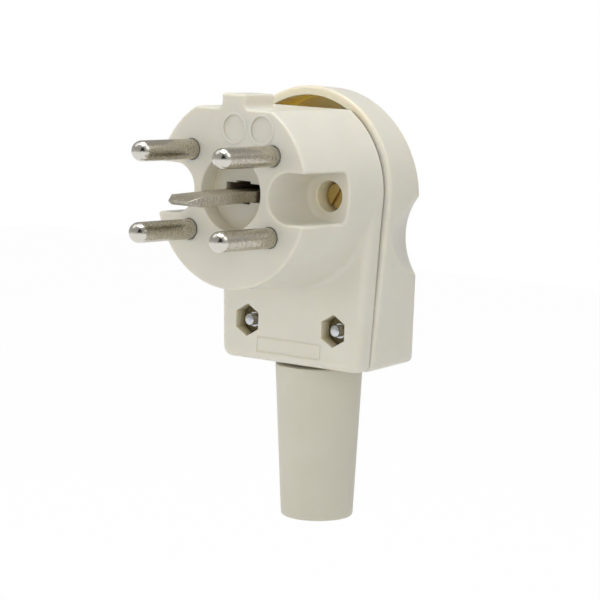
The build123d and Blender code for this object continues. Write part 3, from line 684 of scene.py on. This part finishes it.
def addReflected(name, points, faces, card):
    # a glowing surface that nothing but a reflection sees, of another colour low down where the card has one
    mesh = bpy.data.meshes.new(name)
    mesh.from_pydata((points * mm).tolist(), [], faces)
    material, tree = startMaterial(name)
    colour = hexLinear(card["colour"])
    if "low" in card:
        height = addNode(tree, "ShaderNodeSeparateXYZ", {0: objectPlace(tree)}).outputs["Z"]
        colour = blend(tree, rampMm(tree, height, card["riseMm"]), card["low"], card["colour"])
    glow = addNode(tree, "ShaderNodeEmission", {"Color": colour, "Strength": card["strength"]})
    addNode(tree, "ShaderNodeOutputMaterial", {"Surface": glow.outputs[0]})
    mesh.materials.append(material)
    surface = bpy.data.objects.new(name, mesh)
    scene.collection.objects.link(surface)
    for ray in ("camera", "diffuse", "transmission", "shadow", "volume_scatter"):
        setattr(surface, "visible_" + ray, False)


for name, card in cards.items():
    # corners on a circle round the middle M: M + half (sin t across + cos t along)
    toward = card["toward"] @ cameraAxes
    toward = toward / np.linalg.norm(toward)
    across = np.cross(cameraAxes[1], toward)
    across = across / np.linalg.norm(across)
    turn = np.linspace(0, 2 * pi, card["corners"], endpoint=False)[:, None]
    ring = np.sin(turn) * across + np.cos(turn) * np.cross(toward, across)
    addReflected(name, toward * card["away"] + ring * card["half"], [list(range(card["corners"]))], card)

# walls: a spherical bowl round the camera's axis, radius (sin a cos t right + sin a sin t up + cos a back)
angle = np.linspace(0.01, radians(walls["spread"]), walls["rows"])[:, None]
turn = np.linspace(0, 2 * pi, walls["columns"], endpoint=False)[None]
out, back = np.sin(angle), np.cos(angle)
bowl = np.stack([out * np.cos(turn), out * np.sin(turn), back + 0 * turn], axis=-1)
bowl = (bowl @ cameraAxes).reshape(-1, 3) * walls["radius"]
index = np.arange(walls["rows"] * walls["columns"]).reshape(walls["rows"], walls["columns"])
beside = np.roll(index, -1, axis=1)
quads = np.stack([index[:-1], beside[:-1], beside[1:], index[1:]], axis=-1).reshape(-1, 4).tolist()
addReflected("greyWalls", bowl, quads + [index[0].tolist()], walls)


def seenPlainly(tree):
    # 1 for what the eye sees straight, mirrored or through glass, 0 for light on its way to the object
    path = addNode(tree, "ShaderNodeLightPath").outputs
    seen = maths(tree, "MAXIMUM", path["Is Camera Ray"], path["Is Glossy Ray"])
    return maths(tree, "MAXIMUM", seen, path["Is Transmission Ray"])


# World: white to the eye and in reflections, a plain even light on the object
worldLight = {"strength": 0.32, "colour": "#FFFFFF"}
world = bpy.data.worlds.new("whiteStudio")
scene.world = world
world.use_nodes = True
tree = world.node_tree
tree.nodes.clear()
even = addNode(tree, "ShaderNodeBackground",
               {"Color": hexLinear(worldLight["colour"]), "Strength": worldLight["strength"]})
white = addNode(tree, "ShaderNodeBackground", {"Color": (1, 1, 1, 1), "Strength": 1.0})
either = addNode(tree, "ShaderNodeMixShader", {0: seenPlainly(tree), 1: even.outputs[0], 2: white.outputs[0]})
addNode(tree, "ShaderNodeOutputWorld", {"Surface": either.outputs[0]})

# Floor: pale, below the sleeve's end; white to the eye, with a share of real shading that keeps the shadow,
# and clear from beneath
floorStage = {"drop": 45.0, "half": 900.0, "shade": 0.02, "colour": "#F0F0F0"}
floorZ = cadBox[0][2] - floorStage["drop"] * mm
half = floorStage["half"] * mm
floorCorners = [(-half, -half, floorZ), (half, -half, floorZ), (half, half, floorZ), (-half, half, floorZ)]
floorMesh = bpy.data.meshes.new("paleFloor")
floorMesh.from_pydata(floorCorners, [], [(0, 1, 2, 3)])
floorMaterial, tree = startMaterial("paleFloorPaper")
share = maths(tree, "MULTIPLY", seenPlainly(tree), 1 - floorStage["shade"])
paper = addNode(tree, "ShaderNodeBsdfDiffuse", {"Color": hexLinear(floorStage["colour"])})
glow = addNode(tree, "ShaderNodeEmission", {"Color": (1, 1, 1, 1), "Strength": 1.0})
either = addNode(tree, "ShaderNodeMixShader", {0: share, 1: paper.outputs[0], 2: glow.outputs[0]})
beneath = addNode(tree, "ShaderNodeNewGeometry").outputs["Backfacing"]
clear = addNode(tree, "ShaderNodeBsdfTransparent")
either = addNode(tree, "ShaderNodeMixShader", {0: beneath, 1: either.outputs[0], 2: clear.outputs[0]})
addNode(tree, "ShaderNodeOutputMaterial", {"Surface": either.outputs[0]})
floorMesh.materials.append(floorMaterial)
floor = bpy.data.objects.new("paleFloor", floorMesh)
scene.collection.objects.link(floor)

# Lamps: a strong soft box above, weaker ones in front and to both sides, all turned to the plug's middle.
# Only the top one shows in reflections, where the cards stand for the others
lamps = {
    "topBox": {"place": (60, 20, 560), "size": 420, "watts": 2.4, "mirrored": True},
    "frontBox": {"place": (-160, -640, 150), "size": 800, "watts": 1.0, "mirrored": False},
    "rightBox": {"place": (480, -320, 150), "size": 420, "watts": 0.88, "mirrored": False},
    "leftBox": {"place": (-560, -250, 100), "size": 420, "watts": 0.88, "mirrored": False},
}
plugMiddle = Vector((0, 15, -20)) * mm
for name, lamp in lamps.items():
    light = bpy.data.lights.new(name, "AREA")
    light.size = lamp["size"] * mm
    light.energy = lamp["watts"]
    lampObject = bpy.data.objects.new(name, light)
    lampObject.location = Vector(lamp["place"]) * mm
    lampObject.rotation_euler = (plugMiddle - lampObject.location).to_track_quat("-Z", "Y").to_euler()
    lampObject.visible_camera = False
    lampObject.visible_glossy = lamp["mirrored"]
    scene.collection.objects.link(lampObject)
print("stage set")
